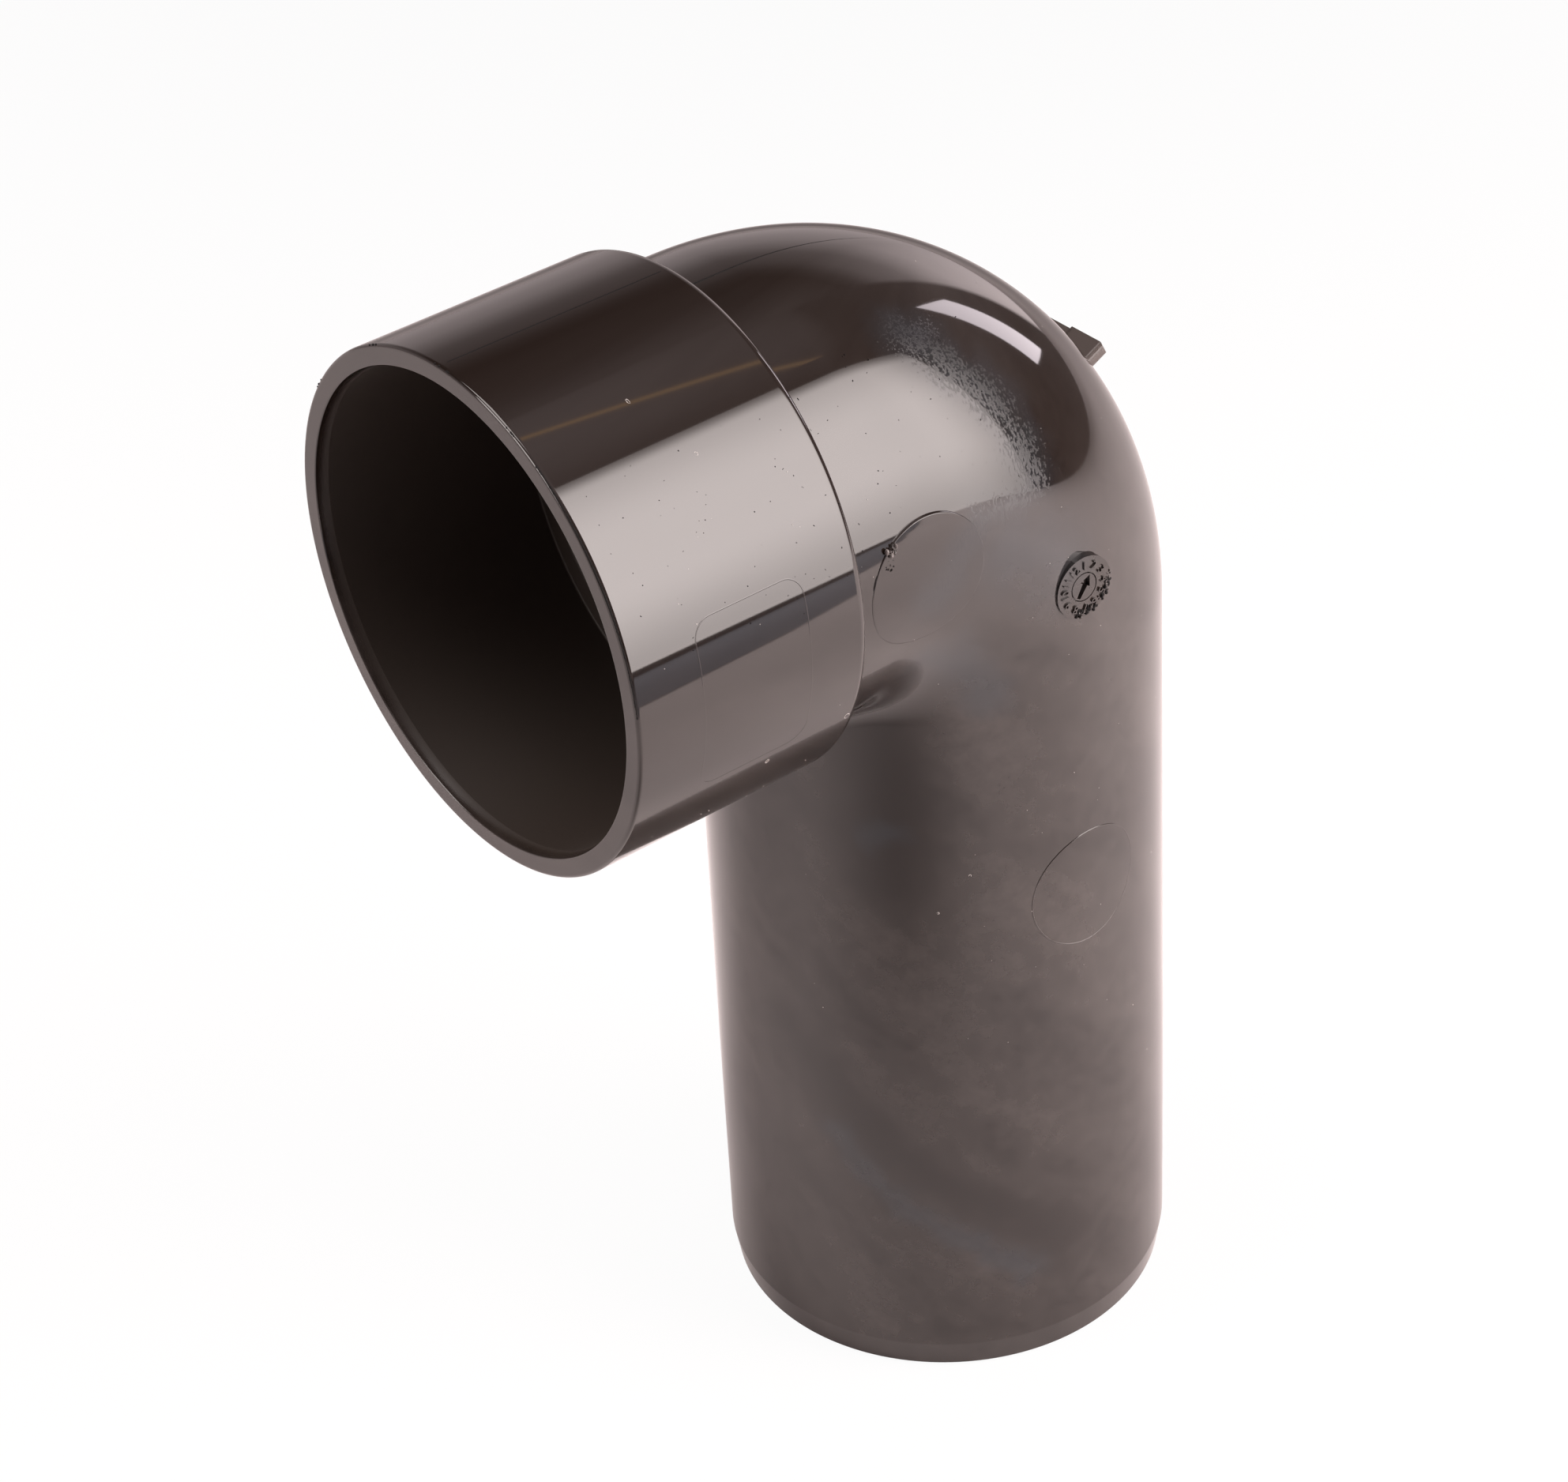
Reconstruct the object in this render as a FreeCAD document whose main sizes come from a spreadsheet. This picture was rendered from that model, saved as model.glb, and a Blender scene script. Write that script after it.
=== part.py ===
import FreeCAD, Part
import Sketcher
import math
import os

# Waste pipe bend, 90 degrees, moulded in one piece. Millimetres.
# The spigot stands on the ground plane with its axis on Z, and the socket faces -Y.
# The plane X = 0 cuts the bend into two mirrored halves: it is the mould's parting plane.

driving_sizes = {
    "pipe_diameter": 43.0,         # outside of the spigot where it enters a socket
    "gauge_length": 26.0,          # end face to where the spigot starts to narrow
    "draft_depth": 0.25,           # how much the radius narrows from there up to the bend
    "wall": 1.9,                   # bend and neck
    "spigot_length": 75.0,         # end face to the start of the bend
    "tip_bevel_length": 2.8,       # bevel that leads the spigot into a socket
    "tip_bevel_depth": 0.45,
    "throat_crease": 1.65,         # how far the straight walls run past the bend's axis and cross
    "waterway_throat": 1.4,        # inside radius of the waterway at the throat
    "neck_length": 5.8,            # straight between the bend and the socket's shoulder
    "socket_length": 23.5,         # shoulder to mouth, outside
    "stop_setback": 1.7,           # shoulder to the stop inside that the pipe butts on
    "socket_wall": 2.05,
    "socket_clearance": 0.1,       # gap round a pipe in the socket, for the cement
    "lead_in_length": 1.2,
    "lead_in_depth": 0.1,
    "shoulder_radius": 0.6,
    "lip_bevel": 0.15,
    "gate_angle": 26.2,            # up from the horizontal, round the heel of the bend
    "gate_width": 4.2,             # across the parting plane
    "gate_offset": 1.0,            # of its middle from the parting plane, toward +X
    "gate_length": 1.4,            # along the heel
    "gate_height": 2.4,            # what is left after the runner was cut off
    "gate_corner": 0.45,
    "web_width": 3.0,              # thin fin beside the stub, on its -X side
    "web_thickness": 0.8,
    "web_drop": 0.25,              # how far the fin stays below the top of the stub
}

document = FreeCAD.newDocument("waste_pipe_bend")

sizes = document.addObject("Spreadsheet::Sheet", "sizes")
for row, (name, value) in enumerate(driving_sizes.items(), start=1):
    sizes.set(f"A{row}", name)
    sizes.set(f"B{row}", str(value))
    sizes.setAlias(f"B{row}", name)
document.recompute()

# Lengths that follow from the driving sizes, written as formulas for the sketches.
pipe_radius = "(sizes.pipe_diameter / 2)"
body_radius = f"({pipe_radius} - sizes.draft_depth)"
bore_radius = f"({body_radius} - sizes.wall)"
bend_radius = f"({body_radius} - sizes.throat_crease)"
heel_radius = f"({body_radius} + {bend_radius})"
axis_height = f"(sizes.spigot_length + {bend_radius})"
waterway_radius = f"({bore_radius} + sizes.waterway_throat)"
waterway_start = f"({axis_height} - {waterway_radius})"
shoulder_at = f"({bend_radius} + sizes.neck_length)"
mouth_at = f"({shoulder_at} + sizes.socket_length)"
stop_at = f"({shoulder_at} + sizes.stop_setback)"
socket_bore = f"({pipe_radius} + sizes.socket_clearance)"
socket_radius = f"({socket_bore} + sizes.socket_wall)"


def plane_of(body, role):
    for feature in body.Origin.OriginFeatures:
        if feature.Role == role:
            return feature
    raise RuntimeError(f"{body.Name} has no {role}")


def new_sketch(body, name, role, offsets=None):
    """A sketch on one of the body's own planes, moved by formulas in the plane's axes."""
    sketch = body.newObject("Sketcher::SketchObject", name)
    sketch.AttachmentSupport = [(plane_of(body, role), "")]
    sketch.MapMode = "FlatFace"
    for path, formula in (offsets or {}).items():
        sketch.setExpression(f"AttachmentOffset.{path}", formula)
    document.recompute()
    return sketch


def number(owner, formula):
    return float(owner.evalExpression(formula))


def drive(sketch, kind, place, formula):
    """One dimension of a sketch, bound to a formula of the sheet."""
    index = sketch.addConstraint(Sketcher.Constraint(kind, *place, number(sketch, formula)))
    sketch.setExpression(f"Constraints[{index}]", formula)


def outline(sketch, corners):
    """A closed outline of straight lines through corners given as pairs of formulas."""
    points = [FreeCAD.Vector(number(sketch, across), number(sketch, up), 0) for across, up in corners]
    following = points[1:] + points[:1]
    for start, end in zip(points, following):
        sketch.addGeometry(Part.LineSegment(start, end), False)
    for index, (across, up) in enumerate(corners):
        sketch.addConstraint(Sketcher.Constraint("Coincident", index, 2, (index + 1) % len(corners), 1))
        drive(sketch, "DistanceX", (index, 1), across)
        drive(sketch, "DistanceY", (index, 1), up)


def rectangle(sketch, across, up):
    """A rectangle between two formulas along each axis."""
    outline(sketch, [(across[0], up[0]), (across[1], up[0]), (across[1], up[1]), (across[0], up[1])])


def circle(sketch, radius):
    """A circle of a given radius about the sketch's origin."""
    start = Part.Circle(FreeCAD.Vector(0, 0, 0), FreeCAD.Vector(0, 0, 1), number(sketch, radius))
    index = sketch.addGeometry(start, False)
    sketch.addConstraint(Sketcher.Constraint("Coincident", index, 3, -1, 1))
    drive(sketch, "Radius", (index,), radius)


def round_point(radius, angle):
    """A point of a circle about the sketch's origin, at an angle from its second axis."""
    return FreeCAD.Vector(-radius * math.sin(angle), radius * math.cos(angle), 0)


def axis_line(sketch, start, end):
    """A construction line that a profile turns about."""
    ends = [FreeCAD.Vector(number(sketch, across), number(sketch, up), 0) for across, up in (start, end)]
    index = sketch.addGeometry(Part.LineSegment(*ends), True)
    for corner, (across, up) in ((1, start), (2, end)):
        drive(sketch, "DistanceX", (index, corner), across)
        drive(sketch, "DistanceY", (index, corner), up)


def turn(body, kind, name, sketch, angle=360.0):
    """Turns a profile about the sketch's own axis line, as material or as a cut."""
    before = body.Shape.Volume if body.Tip else 0.0
    feature = body.newObject(kind, name)
    feature.Profile = sketch
    feature.ReferenceAxis = (sketch, ["Axis0"])
    feature.Angle = angle
    finish(body, feature, before, adds=kind == "PartDesign::Revolution")


def extrude(body, kind, name, sketch, length, symmetric=False, reverse=False):
    """Pads or pockets a sketch by a formula."""
    before = body.Shape.Volume
    feature = body.newObject(kind, name)
    feature.Profile = sketch
    feature.setExpression("Length", length)
    feature.Midplane = symmetric
    feature.Reversed = reverse
    finish(body, feature, before, adds=kind == "PartDesign::Pad")


def finish(body, feature, before, adds):
    """Rebuilds the body and makes sure that the feature changed it the way it should."""
    document.recompute()
    change = body.Shape.Volume - before
    print(f"{feature.Name}: {change:+.1f} mm3")
    if (change > 0) != adds:
        raise RuntimeError(f"{feature.Name} changed the volume by {change}")


def near(value, wanted):
    return abs(value - wanted) < 0.01


def flat_at(lowest, highest, wanted):
    return near(lowest, wanted) and near(highest, wanted)


def edges_where(body, test):
    """Names of the body's edges whose boxes pass a test."""
    return [f"Edge{index}" for index, edge in enumerate(body.Shape.Edges, start=1) if test(edge.BoundBox)]


def round_edges(body, name, edges, radius):
    """Rounds some of the body's edges, which takes a little material away."""
    before = body.Shape.Volume
    base = body.Tip
    feature = body.newObject("PartDesign::Fillet", name)
    feature.Base = (base, edges)
    feature.setExpression("Radius", radius)
    finish(body, feature, before, adds=False)


bend = document.addObject("PartDesign::Body", "waste_bend")
bend.Label = "waste_bend"

# Outside of the spigot, turned about the vertical axis: a bevel, the parallel length
# that enters a socket, and a slight draft up to the bend.
sketch = new_sketch(bend, "spigot_section", "YZ_Plane")
outline(sketch, [
    ("0", "0"),
    (f"{pipe_radius} - sizes.tip_bevel_depth", "0"),
    (pipe_radius, "sizes.tip_bevel_length"),
    (pipe_radius, "sizes.gauge_length"),
    (body_radius, "sizes.spigot_length"),
    ("0", "sizes.spigot_length"),
])
axis_line(sketch, ("0", "0"), ("0", "sizes.spigot_length"))
turn(bend, "PartDesign::Revolution", "spigot_outside", sketch)

# Outside of the bend. The bend's axis passes inside the pipe, so the round section is
# cut off along that axis: the straight walls cross there and leave the throat's crease.
# The section is drawn as five equal arcs.
sketch = new_sketch(bend, "bend_section", "XY_Plane", {"Base.z": "sizes.spigot_length"})
radius = number(sketch, body_radius)
depth = number(sketch, bend_radius)
from_heel = math.pi - math.acos(depth / radius)
for share in (-1.0, -0.6, -0.2, 0.2, 0.6):
    first, middle, last = (round_point(radius, from_heel * (share + step)) for step in (0.0, 0.2, 0.4))
    sketch.addGeometry(Part.Arc(first, middle, last), False)
left, right = round_point(radius, from_heel), round_point(radius, -from_heel)
sketch.addGeometry(Part.LineSegment(left, right), False)
for index in range(5):
    sketch.addConstraint(Sketcher.Constraint("Coincident", index, 3, -1, 1))
    sketch.addConstraint(Sketcher.Constraint("Coincident", index, 2, index + 1, 1))
sketch.addConstraint(Sketcher.Constraint("Coincident", 5, 2, 0, 1))
sketch.addConstraint(Sketcher.Constraint("Horizontal", 5))
drive(sketch, "Radius", (0,), body_radius)
drive(sketch, "DistanceY", (5, 1), f"-{bend_radius}")
arc_angle = f"(180 deg - acos({bend_radius} / {body_radius}))"
drive(sketch, "DistanceY", (0, 2), f"{body_radius} * cos(0.6 * {arc_angle})")
drive(sketch, "DistanceX", (1, 2), f"{body_radius} * sin(0.2 * {arc_angle})")
drive(sketch, "DistanceX", (2, 2), f"-{body_radius} * sin(0.2 * {arc_angle})")
drive(sketch, "DistanceY", (3, 2), f"{body_radius} * cos(0.6 * {arc_angle})")
axis_line(sketch, (f"-{body_radius}", f"-{bend_radius}"), (body_radius, f"-{bend_radius}"))
turn(bend, "PartDesign::Revolution", "bend_outside", sketch, 90.0)

# Neck and socket, turned about the horizontal axis.
sketch = new_sketch(bend, "socket_section", "YZ_Plane")
outline(sketch, [
    (f"-{bend_radius}", axis_height),
    (f"-{bend_radius}", f"{axis_height} + {body_radius}"),
    (f"-{shoulder_at}", f"{axis_height} + {body_radius}"),
    (f"-{shoulder_at}", f"{axis_height} + {socket_radius}"),
    (f"-({mouth_at} - sizes.lip_bevel)", f"{axis_height} + {socket_radius}"),
    (f"-{mouth_at}", f"{axis_height} + {socket_radius} - sizes.lip_bevel"),
    (f"-{mouth_at}", axis_height),
])
axis_line(sketch, (f"-{mouth_at}", axis_height), (f"-{bend_radius}", axis_height))
turn(bend, "PartDesign::Revolution", "socket_outside", sketch)

# The socket's shoulder is rounded.
rim_y = -number(bend, shoulder_at)
rim_width = 2 * number(bend, socket_radius)
rims = edges_where(bend, lambda box: flat_at(box.YMin, box.YMax, rim_y) and near(box.XLength, rim_width))
round_edges(bend, "shoulder_round", rims, "sizes.shoulder_radius")

# Stub of the gate on the heel, astride the parting plane, with a thin fin along its -X side.
# The top and side edges of its +X end are rounded.
# Their sketches stand on the bend's axis and are turned, so their first axis points at the stub.
heel_frame = {
    "Base.x": f"-{bend_radius}",
    "Base.y": "sizes.spigot_length",
    "Rotation.Angle": "sizes.gate_angle",
}
root = f"{heel_radius} - sizes.wall"
gate_top = f"{heel_radius} + sizes.gate_height"
gate_side = "sizes.gate_length / 2"
sketch = new_sketch(bend, "gate_section", "YZ_Plane", heel_frame | {"Base.z": "sizes.gate_offset"})
rectangle(sketch, (root, gate_top), (f"-{gate_side}", gate_side))
extrude(bend, "PartDesign::Pad", "gate_stub", sketch, "sizes.gate_width", symmetric=True)

stub_end = number(bend, "sizes.gate_offset + sizes.gate_width / 2")
stub_top = number(bend, f"({gate_top}) * cos(sizes.gate_angle) - {gate_side} * sin(sizes.gate_angle) - {bend_radius}")
ends = edges_where(bend, lambda box: flat_at(box.XMin, box.XMax, stub_end) and box.YMax > stub_top - 0.01)
round_edges(bend, "gate_round", ends, "sizes.gate_corner")

sketch = new_sketch(bend, "web_section", "YZ_Plane", heel_frame | {"Base.z": "sizes.gate_offset - sizes.gate_width / 2"})
rectangle(sketch, (root, f"{gate_top} - sizes.web_drop"), (f"{gate_side} - sizes.web_thickness", gate_side))
extrude(bend, "PartDesign::Pad", "gate_web", sketch, "sizes.web_width", reverse=True)

# Waterway: the socket with its stop and lead-in, the bend, and the spigot's bore.
sketch = new_sketch(bend, "socket_bore_section", "YZ_Plane")
outline(sketch, [
    (f"-{waterway_radius}", axis_height),
    (f"-{waterway_radius}", f"{axis_height} + {bore_radius}"),
    (f"-{stop_at}", f"{axis_height} + {bore_radius}"),
    (f"-{stop_at}", f"{axis_height} + {socket_bore}"),
    (f"-({mouth_at} - sizes.lead_in_length)", f"{axis_height} + {socket_bore}"),
    (f"-{mouth_at}", f"{axis_height} + {socket_bore} + sizes.lead_in_depth"),
    (f"-{mouth_at}", axis_height),
])
axis_line(sketch, (f"-{mouth_at}", axis_height), (f"-{waterway_radius}", axis_height))
turn(bend, "PartDesign::Groove", "socket_bore", sketch)

sketch = new_sketch(bend, "waterway_section", "XY_Plane", {"Base.z": waterway_start})
circle(sketch, bore_radius)
axis_line(sketch, (f"-{body_radius}", f"-{waterway_radius}"), (body_radius, f"-{waterway_radius}"))
turn(bend, "PartDesign::Groove", "waterway", sketch, 90.0)

sketch = new_sketch(bend, "spigot_bore_section", "XY_Plane")
circle(sketch, bore_radius)
extrude(bend, "PartDesign::Pocket", "spigot_bore", sketch, waterway_start, reverse=True)

document.recompute()
for item in document.Objects:
    if "Invalid" in item.State or "Error" in item.State:
        raise RuntimeError(f"{item.Name} failed to build: {item.State}")

shape = bend.Shape
if shape.isNull() or not shape.isValid() or len(shape.Solids) != 1:
    raise RuntimeError("waste_bend is not one valid solid")
print(f"waste_bend: {shape.Volume:.0f} mm3, {len(shape.Faces)} faces")

os.makedirs("parts", exist_ok=True)
shape.exportStep("parts/waste_bend.step")
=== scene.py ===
import bpy
import bmesh
import math
import random
from mathutils import Matrix, Vector


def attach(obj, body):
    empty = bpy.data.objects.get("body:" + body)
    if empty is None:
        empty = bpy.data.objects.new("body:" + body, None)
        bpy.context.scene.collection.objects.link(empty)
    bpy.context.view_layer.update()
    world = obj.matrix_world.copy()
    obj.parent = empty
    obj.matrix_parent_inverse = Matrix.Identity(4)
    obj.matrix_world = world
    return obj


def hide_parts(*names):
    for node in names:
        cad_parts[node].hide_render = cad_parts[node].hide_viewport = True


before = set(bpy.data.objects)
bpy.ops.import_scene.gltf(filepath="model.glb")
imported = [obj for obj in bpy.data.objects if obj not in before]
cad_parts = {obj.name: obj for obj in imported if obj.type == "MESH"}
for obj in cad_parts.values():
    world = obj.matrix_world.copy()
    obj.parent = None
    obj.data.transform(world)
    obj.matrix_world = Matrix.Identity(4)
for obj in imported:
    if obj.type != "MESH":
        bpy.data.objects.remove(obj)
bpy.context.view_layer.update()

mm = 0.001


# Small helpers that every piece uses.

def linearColor(hexCode):
    parts = [int(hexCode[i:i + 2], 16) / 255 for i in (1, 3, 5)]
    return [p / 12.92 if p <= 0.04045 else ((p + 0.055) / 1.055) ** 2.4 for p in parts] + [1.0]


def addNode(tree, kind, links=(), **settings):
    # Gives the inputs, in order or by name, a node, one of a node's outputs or a plain value.
    node = tree.nodes.new(kind)
    for name, value in settings.items():
        setattr(node, name, value)
    for socket, source in links.items() if isinstance(links, dict) else enumerate(links):
        if isinstance(source, bpy.types.Node):
            source = source.outputs[0]
        if isinstance(source, bpy.types.NodeSocket):
            tree.links.new(source, node.inputs[socket])
        else:
            node.inputs[socket].default_value = source
    return node


def emptyTree(owner):
    # The cleared nodes of a material, a lamp or the world.
    owner.use_nodes = True
    owner.node_tree.nodes.clear()
    return owner.node_tree


def newPiece(name, data, finish=None):
    piece = bpy.data.objects.new(name, data)
    bpy.context.scene.collection.objects.link(piece)
    if finish:
        data.materials.clear()
        data.materials.append(finish)
    return piece


def joinBend(piece):
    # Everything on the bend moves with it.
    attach(piece, "root")


def newTree(name, sizes):
    # A Geometry Nodes tree with one named input for each size, in metres, radians or counts.
    kinds = {int: "NodeSocketInt", float: "NodeSocketFloat", tuple: "NodeSocketVector"}
    tree = bpy.data.node_groups.new(name, "GeometryNodeTree")
    face = tree.interface
    face.new_socket("Geometry", in_out="INPUT", socket_type="NodeSocketGeometry")
    for label, value in sizes.items():
        face.new_socket(label, in_out="INPUT", socket_type=kinds.get(type(value), "NodeSocketObject"))
    face.new_socket("Finish", in_out="INPUT", socket_type="NodeSocketMaterial")
    face.new_socket("Geometry", in_out="OUTPUT", socket_type="NodeSocketGeometry")
    return tree, tree.nodes.new("NodeGroupInput").outputs


def endTree(tree, want, shape, smooth=True):
    # Makes the shape real and gives it its finish.
    if smooth:
        shape = addNode(tree, "GeometryNodeSetShadeSmooth", {"Geometry": shape})
    single = addNode(tree, "GeometryNodeRealizeInstances", {"Geometry": shape})
    coated = addNode(tree, "GeometryNodeSetMaterial", {"Geometry": single, "Material": want["Finish"]})
    addNode(tree, "NodeGroupOutput", {"Geometry": coated})


def throwOnSkin(tree, want, reach=0.08):
    # Where each point lands on the skin when it is thrown along the tree's direction, by at most the reach.
    skin = addNode(tree, "GeometryNodeObjectInfo", {"Object": want["Skin"]}).outputs["Geometry"]
    return addNode(tree, "GeometryNodeRaycast", {
        "Target Geometry": skin, "Ray Direction": want["Direction"], "Ray Length": reach}).outputs


def runTree(name, mesh, tree, sizes, finish):
    # Sets the modifier's inputs by identifier, bakes the result to a plain mesh and drops the modifier.
    piece = newPiece(name, mesh)
    modifier = piece.modifiers.new("shape", "NODES")
    modifier.node_group = tree
    known = {item.name: item.identifier for item in tree.interface.items_tree if item.in_out == "INPUT"}
    for label, value in sizes.items():
        modifier[known[label]] = value
    modifier[known["Finish"]] = finish
    evaluated = piece.evaluated_get(bpy.context.evaluated_depsgraph_get())
    baked = bpy.data.meshes.new_from_object(evaluated)
    piece.modifiers.remove(modifier)
    piece.data = baked
    baked.name = name
    return piece


def polyline(name, points, closed=False, values=None):
    # A mesh of edges through the points, with named numbers on them for a tree to read.
    mesh = bpy.data.meshes.new(name)
    edges = [(i, i + 1) for i in range(len(points) - 1)] + ([(len(points) - 1, 0)] if closed else [])
    mesh.from_pydata(points, edges, [])
    for label, numbers in (values or {}).items():
        layer = mesh.attributes.new(label, "FLOAT", "POINT")
        layer.data.foreach_set("value", numbers)
    return mesh


# Moulded ABS, black, straight from a polished mould: a deep gloss that shows the room. A film of handling
# dulls it in smears, and the bend's side is finely pitted where the melt sweated.
absLook = {
    "color": "#18100c",
    # inside: lighter than the plastic, painted light in the bore, which lies in shade
    "inside": "#2a211a",
    "film": "#3a3431",
    "haze": "#2b3137",  # cooler, where the film is thickest
    "ior": 1.56,
    "gloss": 0.045,
    "insideGloss": 0.62,  # the core's satin finish
    "lipGloss": 0.26,
    "filmGloss": 0.05,  # how much duller under the film
    "filmSize": (0.0085, 0.0019),  # metres: smears, and the mottle in them
    "filmStretch": (0.35, 1.0, 1.0),  # smears run long
    "mottleShare": 0.3,
    "filmEdge": (0.36, 0.68),  # of the noise: where the film begins, and where it is full
    "filmFade": (0.082, 0.100),  # metres up: it thins out between these
    "filmAbove": 0.25,  # what is left of it above
    "lean": 44.0,  # degrees that the smears run down toward +X
    "unrollRadius": 0.0214,  # metres: the spigot's, for smears laid round it
    "hazeShare": 0.45,
    "sweatShare": 0.35,  # the same haze over the pits
    "raggedScale": 300.0,
    "raggedDepth": 0.005,  # metres that the edge of a smear or band wanders
    "pitGloss": 0.21,  # how much duller the pits are
    "pitSize": 0.00025,  # drawn a little coarse, so that they show
    "pitStretch": (1.0, 1.0, 0.45),
    "pitEdge": (0.76, 0.45),  # of the noise, outside a band and within: above it is a pit
    "pitSlope": 0.06,
    "pitDepth": 0.00001,
    "pitStrength": 0.25,
}
# Wiped and hazy smears on the spigot, on its skin unrolled: round it from -Y, and height, in millimetres.
wipes = [((14, 78), (15, 58), 8.0), ((4, 39), (14, 27.5), 5.5), ((14, 27.5), (31, 13.5), 5.0)]
hazes = [((8.5, 28), (13.5, 21.5), 2.2), ((13.5, 21.5), (27, 11), 2.6), ((13.5, 63), (15, 63.5), 2.4),
         ((26, 93), (31, 89), 6.0), ((20, 84), (24, 78), 4.0)]
# Pitted bands on the bend: start, end, and how far they reach.
pitBands = [((12.5, -10.8, 111.5), (17.7, -5.0, 104.0), 5.2), ((17.7, -5.0, 104.0), (20.1, -4.0, 97.5), 5.0),
            ((20.0, -5.0, 97.0), (20.9, -11.0, 97.2), 3.6), ((20.9, -11.0, 97.2), (21.2, -15.5, 92.5), 4.4)]


def lineDistance(tree, place, start, end):
    # How far a place is from the straight piece between two points given in millimetres.
    start, end = (Vector((*point, 0.0)[:3]) * mm for point in (start, end))
    along = end - start
    apart = addNode(tree, "ShaderNodeVectorMath", [place, start], operation="SUBTRACT")
    share = addNode(tree, "ShaderNodeVectorMath", [apart, along / along.length_squared],
                    operation="DOT_PRODUCT")
    share = addNode(tree, "ShaderNodeClamp", [share.outputs["Value"]])
    foot = addNode(tree, "ShaderNodeVectorMath", {0: along, "Scale": share}, operation="SCALE")
    return addNode(tree, "ShaderNodeVectorMath", [apart, foot], operation="DISTANCE").outputs["Value"]


def nearBands(tree, place, bands, ragged):
    # One in the middle of the bands, fading to nothing at their reach, with a ragged edge.
    total = 0.0
    for start, end, reach in bands:
        away = lineDistance(tree, place, start, end)
        away = addNode(tree, "ShaderNodeMath", [away, ragged], operation="ADD")
        near = addNode(tree, "ShaderNodeMapRange", [away, 0.0, reach * mm, 1.0, 0.0],
                       interpolation_type="SMOOTHSTEP")
        total = addNode(tree, "ShaderNodeMath", [total, near], operation="MAXIMUM")
    return total


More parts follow.
